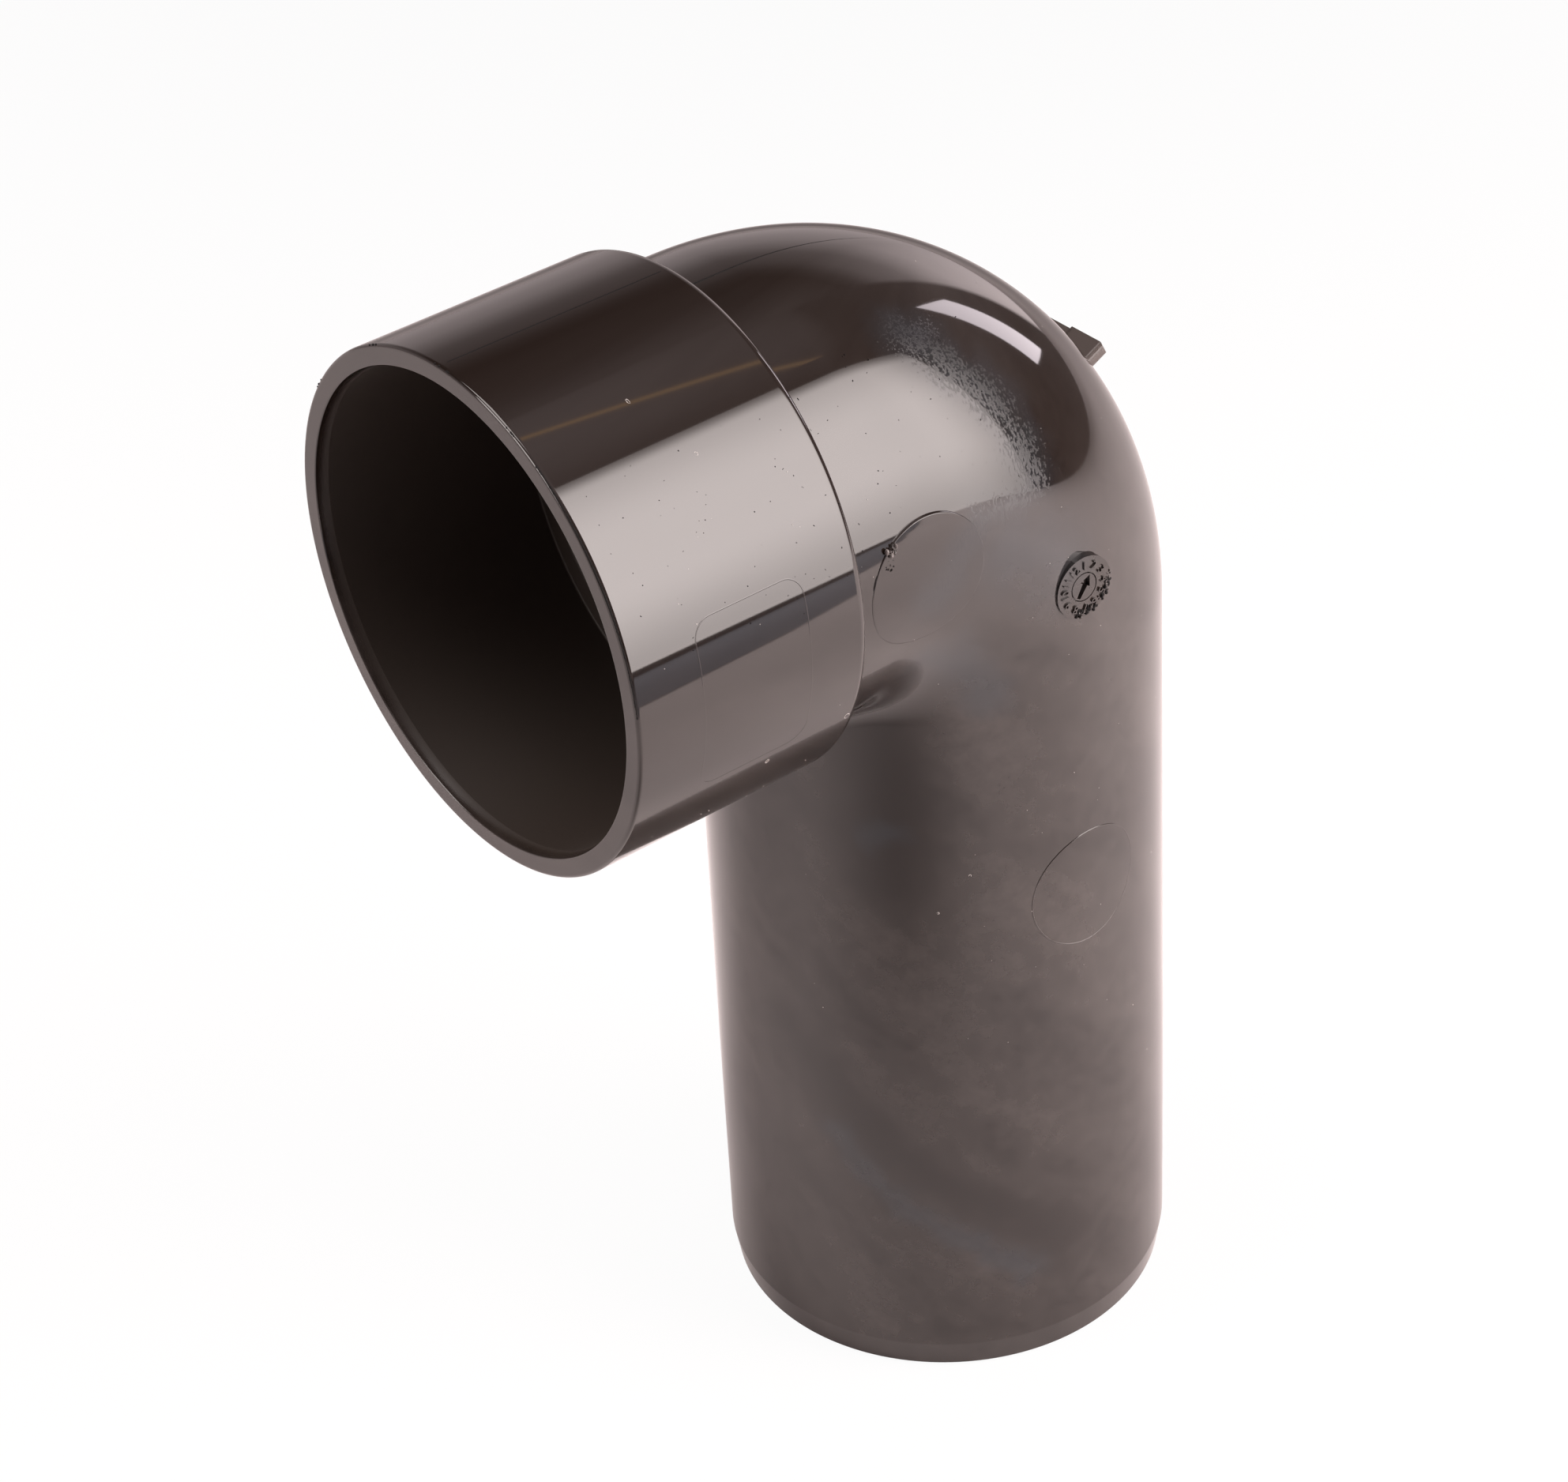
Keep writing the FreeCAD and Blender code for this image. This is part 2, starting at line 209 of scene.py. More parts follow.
def makeAbs(name, look):
    material = bpy.data.materials.new(name)
    tree = emptyTree(material)
    place = addNode(tree, "ShaderNodeTexCoord").outputs["Object"]
    axes = addNode(tree, "ShaderNodeSeparateXYZ", [place]).outputs
    back = addNode(tree, "ShaderNodeMath", [axes["Y"], -1.0], operation="MULTIPLY")
    turned = addNode(tree, "ShaderNodeMath", [axes["X"], back], operation="ARCTAN2")
    around = addNode(tree, "ShaderNodeMath", [turned, look["unrollRadius"]], operation="MULTIPLY")
    unrolled = addNode(tree, "ShaderNodeCombineXYZ", {"X": around, "Y": axes["Z"]})
    rough = addNode(tree, "ShaderNodeTexNoise", {
        "Vector": place, "Scale": look["raggedScale"], "Detail": 5.0})
    ragged = addNode(tree, "ShaderNodeMath", [rough, look["raggedDepth"], -look["raggedDepth"] / 2],
                     operation="MULTIPLY_ADD")
    pitted = nearBands(tree, place, pitBands, ragged)

    # The film: long smears, broken up by a fine mottle.
    smearSize, mottleSize = look["filmSize"]
    leaning = addNode(tree, "ShaderNodeVectorRotate", {
        "Vector": unrolled, "Angle": math.radians(look["lean"])}, rotation_type="Z_AXIS")
    drawn = addNode(tree, "ShaderNodeVectorMath", [leaning, look["filmStretch"]], operation="MULTIPLY")
    smears = addNode(tree, "ShaderNodeTexNoise", {
        "Vector": drawn, "Scale": 1 / smearSize, "Detail": 4.0, "Roughness": 0.55})
    mottle = addNode(tree, "ShaderNodeTexNoise", {
        "Vector": unrolled, "Scale": 1 / mottleSize, "Detail": 4.0, "Roughness": 0.6})
    patchy = addNode(tree, "ShaderNodeMix", {0: look["mottleShare"], 2: smears, 3: mottle})
    film = addNode(tree, "ShaderNodeMapRange", [patchy, *look["filmEdge"]])
    wiped = nearBands(tree, unrolled, wipes, ragged)
    unwiped = addNode(tree, "ShaderNodeMath", [wiped, -1.0, 1.0], operation="MULTIPLY_ADD")
    low = addNode(tree, "ShaderNodeMapRange", [axes["Z"], *look["filmFade"], 1.0, look["filmAbove"]])
    for left in (unwiped, low):
        film = addNode(tree, "ShaderNodeMath", [film, left], operation="MULTIPLY")

    # The color: the film's over the plastic's, then the haze's, then inside the pipe a lighter one, painted
    # light in the shaded bore.
    hazy = nearBands(tree, unrolled, hazes, ragged)
    hazy = addNode(tree, "ShaderNodeMath", [hazy, look["hazeShare"]], operation="MULTIPLY")
    sweated = addNode(tree, "ShaderNodeMath", [pitted, look["sweatShare"]], operation="MULTIPLY")
    cooled = addNode(tree, "ShaderNodeMath", [hazy, sweated], operation="MAXIMUM")
    insideLightMask = addNode(tree, "ShaderNodeAttribute", attribute_name="inner")
    tint = linearColor(look["color"])
    for share, color in ((film, "film"), (cooled, "haze"), (insideLightMask.outputs["Fac"], "inside")):
        tint = addNode(tree, "ShaderNodeMix", {
            0: share, 6: tint, 7: linearColor(look[color])}, data_type="RGBA").outputs[2]

    # The pits: fine flecks drawn out along the flow, thick in their bands and rare elsewhere.
    flow = addNode(tree, "ShaderNodeVectorMath", [place, look["pitStretch"]], operation="MULTIPLY")
    pits = addNode(tree, "ShaderNodeTexNoise", {
        "Vector": flow, "Scale": 1 / look["pitSize"], "Detail": 3.0, "Roughness": 0.6})
    edge = addNode(tree, "ShaderNodeMapRange", {0: pitted, 3: look["pitEdge"][0], 4: look["pitEdge"][1]})
    above = addNode(tree, "ShaderNodeMath", [pits, edge], operation="SUBTRACT")
    flecks = addNode(tree, "ShaderNodeMapRange", [above, 0.0, look["pitSlope"]])
    dents = addNode(tree, "ShaderNodeBump", {
        "Strength": look["pitStrength"], "Distance": look["pitDepth"], "Height": flecks}, invert=True)

    gloss = look["gloss"]
    for share, duller in ((film, "filmGloss"), (flecks, "pitGloss")):
        gloss = addNode(tree, "ShaderNodeMath", [share, look[duller], gloss], operation="MULTIPLY_ADD")
    for mark, value in (("inner", look["insideGloss"]), ("lip", look["lipGloss"])):
        marked = addNode(tree, "ShaderNodeAttribute", attribute_name=mark)
        gloss = addNode(tree, "ShaderNodeMix", {0: marked.outputs["Fac"], 2: gloss, 3: value})
    surface = addNode(tree, "ShaderNodeBsdfPrincipled", {
        "Base Color": tint, "Roughness": gloss, "IOR": look["ior"], "Normal": dents})
    addNode(tree, "ShaderNodeOutputMaterial", {"Surface": surface})
    return material


def plainFinish(name, color, roughness, ior):
    material = bpy.data.materials.new(name)
    tree = emptyTree(material)
    surface = addNode(tree, "ShaderNodeBsdfPrincipled", {
        "Base Color": linearColor(color), "Roughness": roughness, "IOR": ior})
    addNode(tree, "ShaderNodeOutputMaterial", {"Surface": surface})
    return material


mouldedAbs = makeAbs("mouldedAbsGloss", absLook)
tornMattAndShadeAbs = plainFinish("tornAbsMattAndShade", "#0b0808", 0.7, 1.3)  # torn flash, darker as painted shade along its torn edge, and painted shade in a seam
knotHighlightAbs = plainFinish("knotHighlightAbsSatin", "#5d5654", 0.3, 1.56)  # pale: a painted highlight on the knot's lumps
cutAbs = plainFinish("cutAbsSatin", "#463d39", 0.33, 1.56)  # the gate's cut end
lint = plainFinish("paleLint", "#c9c3bf", 0.9, 1.45)  # fibres and specks of dust
print("finish ready")


# The pipe from end to end, one closed skin.

bend = {  # millimetres
    "pipeRadius": 21.5,
    "gaugeLength": 26.0,
    "draft": 0.25,  # the spigot narrows by this much up to the bend
    "draftRings": (45, 68),
    "wall": 1.9,
    "spigotLength": 75.0,
    "bevelLength": 2.8,
    "bevelDepth": 0.45,
    "bevelRound": 1.2,
    "draftRound": 40.0,
    "throatCrease": 1.65,  # how far the walls run past the bend's axis before they cross
    "throatRound": 2.2,  # round in the crease
    "throatSoft": 0.8,  # of that round: how gently it begins
    "waterwayThroat": 1.4,
    "neckLength": 5.8,
    "neckRing": 4.3,
    "socketLength": 23.5,
    "stopSetback": 1.7,
    "socketWall": 2.05,
    "socketClearance": 0.1,
    "leadLength": 1.2,
    "leadDepth": 0.25,
    "shoulderRound": 0.85,
    "neckRound": 0.25,
    "lipRound": 0.34,
    "mouthRound": 0.1,
    "leadRound": 0.3,
    "stopRound": 0.2,
    "stepRound": 0.3,  # where the stop meets the neck's bore
    "edgeRound": 0.12,
    "flatEdge": 0.06,  # beside each round, a ring that keeps the flat part flat in the shading
    "lipDepth": 0.03,  # of the lip's own finish
    "roundStep": 15,  # degrees
    "columns": 192,
    "turnRows": 72,
}
hair = 0.05  # millimetres, for telling one face of the pipe from the next

bodyRadius = bend["pipeRadius"] - bend["draft"]
boreRadius = bodyRadius - bend["wall"]
turnRadius = bodyRadius - bend["throatCrease"]
axisHeight = bend["spigotLength"] + turnRadius
waterRadius = boreRadius + bend["waterwayThroat"]
waterStart = axisHeight - waterRadius
shoulderAt = turnRadius + bend["neckLength"]
mouthAt = shoulderAt + bend["socketLength"]
stopAt = shoulderAt + bend["stopSetback"]
socketBore = bend["pipeRadius"] + bend["socketClearance"]
socketRadius = socketBore + bend["socketWall"]


def roundedLine(corners):
    # Rounds the corners of a line of (place, radius, round).
    line = []
    for i, (place, radius, corner) in enumerate(corners):
        here = Vector((place, radius))
        if corner == 0 or i in (0, len(corners) - 1):
            line.append(here)
            continue
        before = (Vector(corners[i - 1][:2]) - here).normalized()
        after = (Vector(corners[i + 1][:2]) - here).normalized()
        half = math.acos(max(-1, min(1, before.dot(after)))) / 2
        reach = corner / math.tan(half)
        centre = here + (before + after).normalized() * (corner / math.sin(half))
        start, end = here + before * reach, here + after * reach
        line.append(start + before * bend["flatEdge"])
        steps = max(3, round((math.pi - 2 * half) / math.radians(bend["roundStep"])))
        first, last = start - centre, end - centre
        turn = -first.angle_signed(last)
        for k in range(steps + 1):
            angle = turn * k / steps
            line.append(centre + Vector((first.x * math.cos(angle) - first.y * math.sin(angle),
                                         first.x * math.sin(angle) + first.y * math.cos(angle))))
        line.append(end + after * bend["flatEdge"])
    return line


stations = []  # leg, place, radius, turn, inside: one ring of the skin each


def addLeg(leg, corners, inside=False):
    for place, radius in roundedLine(corners):
        stations.append((leg, place, radius, 0.0 if leg == "spigot" else 90.0, inside))


def addTurn(radius, inside=False):
    angles = [90.0 * k / bend["turnRows"] for k in range(bend["turnRows"] + 1)]
    for angle in reversed(angles) if inside else angles:
        stations.append(("turn", 0.0, radius, angle, inside))


tipRadius = bend["pipeRadius"] - bend["bevelDepth"]
tipMiddle = (boreRadius + tipRadius) / 2
slope = bend["draft"] / (bend["spigotLength"] - bend["gaugeLength"])
addLeg("spigot", [
    (0, tipMiddle, 0),
    (0, tipRadius, bend["edgeRound"]),
    (bend["bevelLength"], bend["pipeRadius"], bend["bevelRound"]),
    (bend["gaugeLength"], bend["pipeRadius"], bend["draftRound"]),
    *((height, bend["pipeRadius"] - slope * (height - bend["gaugeLength"]), 0)
      for height in bend["draftRings"]),
])
addTurn(bodyRadius)
addLeg("socket", [
    (turnRadius + bend["neckRing"], bodyRadius, 0),
    (shoulderAt, bodyRadius, bend["neckRound"]),
    (shoulderAt, socketRadius, bend["shoulderRound"]),
    (mouthAt, socketRadius, bend["lipRound"]),
    (mouthAt, socketBore + bend["leadDepth"], bend["mouthRound"]),
    (mouthAt - bend["leadLength"], socketBore, bend["leadRound"]),
    (stopAt, socketBore, bend["stopRound"]),
    (stopAt, boreRadius, bend["stepRound"]),
    (waterRadius + 1.0, boreRadius, 0),
])
addTurn(boreRadius, inside=True)
addLeg("spigot", [
    *((height, boreRadius, 0) for height in (waterStart - 4, 40)),
    (0, boreRadius, bend["edgeRound"]),
    (0, tipMiddle - 0.4, 0),
], inside=True)

rings = []
for leg, place, radius, angle, inside in stations:
    mouthBore = place > shoulderAt + 1 and radius < socketBore + hair
    rings.append({
        "ringRadius": radius * mm,
        "turn": math.radians(angle),
        "place": place * mm,
        "onSpigot": float(leg == "spigot"),
        "onSocket": float(leg == "socket"),
        "centre": (waterRadius if inside else turnRadius) * mm,
        "start": (waterStart if inside else bend["spigotLength"]) * mm,
        "throatRound": 0.0 if inside else bend["throatRound"] * mm,
        "inner": float(inside or leg == "socket" and (radius < boreRadius + hair or mouthBore)),
        "lip": float(leg == "socket" and place > mouthAt - bend["lipDepth"]),
    })
values = {label: [ring[label] for ring in rings] for label in rings[0]}
guide = []  # a loop that only carries the numbers
for i in range(len(stations)):
    angle = math.tau * i / len(stations)
    guide.append((0.0, 0.1 * math.cos(angle), 0.1 * math.sin(angle)))

# Each ring stands where its station says. On the turn a line of the skin that runs at a distance
# "lane" from the bend's axis turns on that radius, but never on less than the round in the throat.
tree, want = newTree("pipeBend", {"Columns": bend["columns"]})
path = addNode(tree, "GeometryNodeMeshToCurve", {"Mesh": want["Geometry"]})
hoop = addNode(tree, "GeometryNodeCurvePrimitiveCircle", {"Resolution": want["Columns"], "Radius": 0.01})
count = addNode(tree, "GeometryNodeInputIndex")
step = addNode(tree, "ShaderNodeMath", [math.tau, want["Columns"]], operation="DIVIDE")
around = addNode(tree, "ShaderNodeMath", [count, step], operation="MULTIPLY")
marked = addNode(tree, "GeometryNodeStoreNamedAttribute", {
    "Geometry": hoop, "Name": "around", "Value": around})
skin = addNode(tree, "GeometryNodeCurveToMesh", {"Curve": path, "Profile Curve": marked})
read = {label: addNode(tree, "GeometryNodeInputNamedAttribute", {"Name": label})
        for label in [*values, "around"]}
sine, cosine, turnSin, turnCos = (addNode(tree, "ShaderNodeMath", [read[angle]], operation=wave)
                                  for angle in ("around", "turn") for wave in ("SINE", "COSINE"))
sideways = addNode(tree, "ShaderNodeMath", [read["ringRadius"], sine], operation="MULTIPLY")
outward = addNode(tree, "ShaderNodeMath", [read["ringRadius"], cosine], operation="MULTIPLY")
lane = addNode(tree, "ShaderNodeMath", [outward, read["centre"]], operation="ADD")
soften = addNode(tree, "ShaderNodeMath", [read["throatRound"], bend["throatSoft"]], operation="MULTIPLY")
turning = addNode(tree, "ShaderNodeMath", [lane, read["throatRound"], soften], operation="SMOOTH_MAX")
shift = addNode(tree, "ShaderNodeMath", [lane, turning], operation="SUBTRACT")
across = addNode(tree, "ShaderNodeMath", [turning, turnCos, shift], operation="MULTIPLY_ADD")
along = addNode(tree, "ShaderNodeMath", [turning, turnSin, shift], operation="MULTIPLY_ADD")
turnY = addNode(tree, "ShaderNodeMath", [across, read["centre"]], operation="SUBTRACT")
turnZ = addNode(tree, "ShaderNodeMath", [along, read["start"]], operation="ADD")
mouthward = addNode(tree, "ShaderNodeMath", [read["place"], -1.0], operation="MULTIPLY")
finalY = addNode(tree, "ShaderNodeMix", {0: read["onSocket"], 2: turnY, 3: mouthward})
finalZ = addNode(tree, "ShaderNodeMix", {0: read["onSpigot"], 2: turnZ, 3: read["place"]})
spot = addNode(tree, "ShaderNodeCombineXYZ", {"X": sideways, "Y": finalY, "Z": finalZ})
endTree(tree, want, addNode(tree, "GeometryNodeSetPosition", {"Geometry": skin, "Position": spot}))

pipe = runTree("bendSkin", polyline("bendGuide", guide, closed=True, values=values), tree,
               {"Columns": bend["columns"]}, mouldedAbs)
shape = bmesh.new()
shape.from_mesh(pipe.data)
bmesh.ops.recalc_face_normals(shape, faces=shape.faces)
if shape.calc_volume(signed=True) < 0:
    bmesh.ops.reverse_faces(shape, faces=shape.faces)
print("pipe volume", round(shape.calc_volume() * 1e9), "mm3, open edges",
      sum(1 for edge in shape.edges if not edge.is_manifold), "faces", len(shape.faces))
shape.to_mesh(pipe.data)
shape.free()
for spare in list(pipe.data.attributes):
    if spare.name in values and spare.name not in ("inner", "lip") or spare.name == "around":
        pipe.data.attributes.remove(spare)
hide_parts("waste_bend")
joinBend(pipe)
print("pipe skin made")


# Stub of the gate on the heel, cut off on a slant, with a thin fin of flash beside it.

stub = {  # millimetres and degrees
    "angle": 26.2,  # up from the horizontal, round the heel
    "left": -1.1, "right": 3.1,  # across the parting plane
    "length": 1.4,  # along the heel
    "height": 2.4,
    "root": 1.6,  # how deep it is set in the pipe
    "slant": 0.55,  # the cut falls by this much toward +X
    "corner": 0.45,
    "finWidth": 3.0,
    "finThickness": 0.8,
    "finDrop": 0.25,
    "finOverlap": 0.3,
}
heel = bodyRadius + turnRadius


def onHeel(x, along, out):
    # A point beside the stub: across the parting plane, along the heel and out from the bend's axis.
    angle = math.radians(stub["angle"])
    return Vector((x, -turnRadius + out * math.cos(angle) - along * math.sin(angle),
                   bend["spigotLength"] + out * math.sin(angle) + along * math.cos(angle))) * mm


def gateBlock(shape, low, high, fall):
    # A box whose top falls along X; gives back its edges on the +X end, without the hidden one.
    corners = [shape.verts.new((x, y, z)) for x in (low[0], high[0]) for y in (low[1], high[1])
               for z in (low[2], high[2])]
    for corner in corners:
        if corner.co.z > heel and corner.co.x == high[0]:
            corner.co.z -= fall
    for ring in ((0, 1, 3, 2), (4, 6, 7, 5), (0, 4, 5, 1), (2, 3, 7, 6), (0, 2, 6, 4), (1, 5, 7, 3)):
        shape.faces.new([corners[i] for i in ring])
    return [edge for edge in shape.edges if all(end in corners[4:] for end in edge.verts)
            and any(end.co.z > heel for end in edge.verts)]


gateMesh = bpy.data.meshes.new("gateStub")
shape = bmesh.new()
half = stub["length"] / 2
ends = gateBlock(shape, (stub["left"], -half, heel - stub["root"]),
                 (stub["right"], half, heel + stub["height"]), stub["slant"])
bmesh.ops.bevel(shape, geom=ends, offset=stub["corner"], segments=5, affect="EDGES", profile=0.5)
gateBlock(shape, (stub["left"] - stub["finWidth"], half - stub["finThickness"], heel - stub["root"]),
          (stub["left"] + stub["finOverlap"], half, heel + stub["height"] - stub["finDrop"]), 0.0)
bmesh.ops.recalc_face_normals(shape, faces=shape.faces)
for corner in shape.verts:
    corner.co = onHeel(*corner.co)
shape.to_mesh(gateMesh)
shape.free()
joinBend(newPiece("gateStub", gateMesh, cutAbs))
print("gate stub made")


# Fine raised lines that follow the skin: each is drawn beside the pipe and thrown onto it.
beside = 30.0  # millimetres on +X, where what is thrown from the side is drawn
above = 130.0
fromSide = (-1.0, 0.0, 0.0)
fromAbove = (0.0, 0.0, -1.0)
unthrown = (0.0, 0.0, 0.0)  # stays where it is drawn
lineSizes = {"Skin": pipe, "Direction": fromSide, "Thickness": 0.0001, "Sunk": 0.0, "Sides": 8}
tree, want = newTree("surfaceLine", lineSizes)
drawn = addNode(tree, "GeometryNodeMeshToCurve", {"Mesh": want["Geometry"]})
hit = throwOnSkin(tree, want)
inward = addNode(tree, "ShaderNodeVectorMath", {
    0: hit["Hit Normal"], "Scale": want["Sunk"]}, operation="SCALE")
seat = addNode(tree, "ShaderNodeVectorMath", [hit["Hit Position"], inward], operation="SUBTRACT")
laid = addNode(tree, "GeometryNodeSetPosition", {
    "Geometry": drawn, "Selection": hit["Is Hit"], "Position": seat})
width = addNode(tree, "GeometryNodeInputNamedAttribute", {"Name": "width"})
thick = addNode(tree, "ShaderNodeMath", [width, want["Thickness"]], operation="MULTIPLY")
profile = addNode(tree, "GeometryNodeCurvePrimitiveCircle", {"Resolution": want["Sides"], "Radius": 1.0})
endTree(tree, want, addNode(tree, "GeometryNodeCurveToMesh", {
    "Curve": laid, "Profile Curve": profile, "Scale": thick, "Fill Caps": True}))
lineTree = tree


def surfaceLine(name, points, thickness, sunk, direction=fromSide, closed=False, widths=None,
                finish=mouldedAbs, sides=8):
    # Points in millimetres, outside the skin; the line is sunk by part of its radius.
    widths = widths or [1.0] * len(points)
    mesh = polyline(name + "Path", [Vector(point) * mm for point in points], closed, {"width": widths})
    sizes = {"Skin": pipe, "Direction": direction, "Thickness": thickness * mm, "Sunk": sunk * mm,
             "Sides": sides}
    joinBend(runTree(name, mesh, lineTree, sizes, finish))


def sidePoint(centre, radius, angle, x=beside):
    # On a circle seen from +X, by the angle from +Y toward +Z.
    return (x, centre[0] + radius * math.cos(angle), centre[1] + radius * math.sin(angle))


def ringPoints(centre, radius, start=0.0, end=360.0, step=3.0):
    count = max(2, round((end - start) / step))
    return [sidePoint(centre, radius, math.radians(start + (end - start) * k / count))
            for k in range(count + (abs(end - start) < 360))]


def taper(count, ends=0.25):
    # Widths that swell from nothing to one and fade out again.
    return [min(1.0, min(k, count - 1 - k) / max(1.0, ends * count) + 0.05) for k in range(count)]


# Outlines left by the mould's round inserts.
lower = {"centre": (0.24, 53.7), "radius": 6.0}
upper = {"centre": (-17.0, 93.95), "radius": 6.04}
points = ringPoints(lower["centre"], lower["radius"])
surfaceLine("lowerInsertLine", points, 0.125, 0.06, closed=True,
            widths=[0.8 + 0.2 * math.cos(math.radians(3 * k - 150)) for k in range(len(points))])
points = ringPoints(upper["centre"], upper["radius"], 150, 262)
surfaceLine("upperInsertLine", points, 0.075, 0.04, widths=taper(len(points), 0.2))
# The nick's dark matt finish is painted shade.
surfaceLine("upperInsertNick", ringPoints(upper["centre"], upper["radius"] + 0.05, 149, 168), 0.09, 0.05,
            widths=taper(7), finish=tornMattAndShadeAbs)

# The upper insert stood proud: a patch thrown onto the skin and lifted toward its top, with a wall round it.
plug = {  # millimetres and degrees
    "rows": 24,
    "segments": 120,
    "least": 0.03,
    "height": 0.42,
    "highest": 75.0,
    "level": 0.15,  # of the radius: it lifts only past this
    "rise": 1.6,  # how the lift grows, as a power
    "edges": (0.12, 0.05, 0.01, 0.0),  # its last rings, in from the rim: two on top, the bevel and the wall
    "bevel": 0.012,
    "depth": 0.4,
}
patchSizes = {"Skin": pipe, "Direction": fromSide}
tree, want = newTree("skinPatch", patchSizes)
hit = throwOnSkin(tree, want)
lift = addNode(tree, "GeometryNodeInputNamedAttribute", {"Name": "lift"})
raised = addNode(tree, "ShaderNodeVectorMath", {0: want["Direction"], "Scale": lift}, operation="SCALE")
seat = addNode(tree, "ShaderNodeVectorMath", [hit["Hit Position"], raised], operation="SUBTRACT")
endTree(tree, want, addNode(tree, "GeometryNodeSetPosition", {
    "Geometry": want["Geometry"], "Selection": hit["Is Hit"], "Position": seat}))

radii = [upper["radius"] * k / plug["rows"] for k in range(1, plug["rows"])]
radii += [upper["radius"] - inset for inset in plug["edges"]]
points, lifts, faces = [(beside * mm, *(c * mm for c in upper["centre"]))], [plug["least"] * mm], []
for row, radius in enumerate(radii):
    first, below = 1 + row * plug["segments"], 1 + (row - 1) * plug["segments"]
    for k in range(plug["segments"]):
        angle = math.tau * k / plug["segments"]
        points.append([c * mm for c in sidePoint(upper["centre"], radius, angle)])
        toward = radius * math.cos(angle - math.radians(plug["highest"])) / upper["radius"]
        proud = plug["least"] + plug["height"] * max(0.0, toward - plug["level"]) ** plug["rise"]
        last = max(0, row - len(radii) + 4)
        lifts.append((proud, proud, proud - plug["bevel"], -plug["depth"])[last] * mm)
        after = (k + 1) % plug["segments"]
        outer = (first + k, first + after)
        faces.append((0, *outer) if row == 0 else (below + k, *outer, below + after))
mesh = bpy.data.meshes.new("insertPlugPatch")
mesh.from_pydata(points, [], faces)
mesh.attributes.new("lift", "FLOAT", "POINT").data.foreach_set("value", lifts)
joinBend(runTree("insertPlug", mesh, tree, patchSizes, mouldedAbs))
print("insert marks made")

# Parting line of the mould, along the top of the socket and the bend: a dark matt line, painted shade of the
# seam's groove.
points = [(0.0, y, above) for y in range(-48, -25)]
surfaceLine("socketPartingLine", points, 0.30, 0.292, direction=fromAbove, finish=tornMattAndShadeAbs, sides=48)
points = [(0.0, -24.6 + 0.5 * k, above) for k in range(48)]
surfaceLine("bendPartingLine", points, 0.11, 0.05, direction=fromAbove,
            widths=[max(0.05, 1 - k / 80) for k in range(48)], finish=tornMattAndShadeAbs)

# Outline of a raised field on the socket's side, with points close enough to follow the round wall.
panel = {"near": -42.3, "far": -31.4, "low": 85.6, "high": 101.8, "corner": 1.8, "spacing": 0.5}
points = []
for y, z, start in ((panel["far"], panel["high"], 0), (panel["near"], panel["high"], 90),
                    (panel["near"], panel["low"], 180), (panel["far"], panel["low"], 270)):
    centre = (y + panel["corner"] * (1 if y == panel["near"] else -1),
              z + panel["corner"] * (1 if z == panel["low"] else -1))
    points += [sidePoint(centre, panel["corner"], math.radians(start + 90 * k / 8)) for k in range(9)]
dense = []
for here, ahead in zip(points, points[1:] + points[:1]):
    gap = max(1, round((Vector(ahead) - Vector(here)).length / panel["spacing"]))
    dense += [Vector(here).lerp(Vector(ahead), k / gap) for k in range(gap)]
surfaceLine("panelLine", dense, 0.2, 0.192, closed=True, sides=48)
print("parting line and panel made")

# Date dial: a small insert with plain numbers round a slotted arrow.
dialSizes = {"Radius": 0.00295, "Ring": 0.0013, "Groove": 0.0001, "Depth": 0.0024, "Recess": 0.0004,
             "Number Size": 0.0011, "Number Ring": 0.0021, "Numbers": 12, "Relief": 0.00016}
dialPlace = {"centre": (21.5, -0.10, 85.97), "normal": (1.0, -0.03, 0.01), "arrowTurn": -33.0}
arrowShape = [(-0.2, -1.15), (0.2, -1.15), (0.3, 0.2), (0.62, 0.2), (0.0, 1.2), (-0.62, 0.2), (-0.3, 0.2)]
tree, want = newTree("dateDial", dialSizes)
grooveOut = addNode(tree, "ShaderNodeMath", [want["Ring"], want["Groove"]], operation="ADD")
curves = [addNode(tree, "GeometryNodeCurvePrimitiveCircle", {"Resolution": sides, "Radius": radius})
          for sides, radius in ((96, want["Radius"]), (64, grooveOut), (64, want["Ring"]))]
curves.append(addNode(tree, "GeometryNodeMeshToCurve", {"Mesh": want["Geometry"]}))
outline = addNode(tree, "GeometryNodeJoinGeometry")
for curve in curves:
    tree.links.new(curve.outputs[0], outline.inputs[0])
face = addNode(tree, "GeometryNodeFillCurve", {"Curve": outline})
deep = addNode(tree, "ShaderNodeCombineXYZ", {"Z": want["Depth"]})
walls = addNode(tree, "GeometryNodeExtrudeMesh", {
    "Mesh": face, "Offset": deep, "Offset Scale": -1.0, "Individual": False})
plate = addNode(tree, "GeometryNodeFillCurve", {"Curve": curves[0]})
lowered = addNode(tree, "ShaderNodeMath", [want["Recess"], -1.0], operation="MULTIPLY")
lowered = addNode(tree, "ShaderNodeCombineXYZ", {"Z": lowered})
under = addNode(tree, "GeometryNodeTransform", {"Geometry": plate, "Translation": lowered})

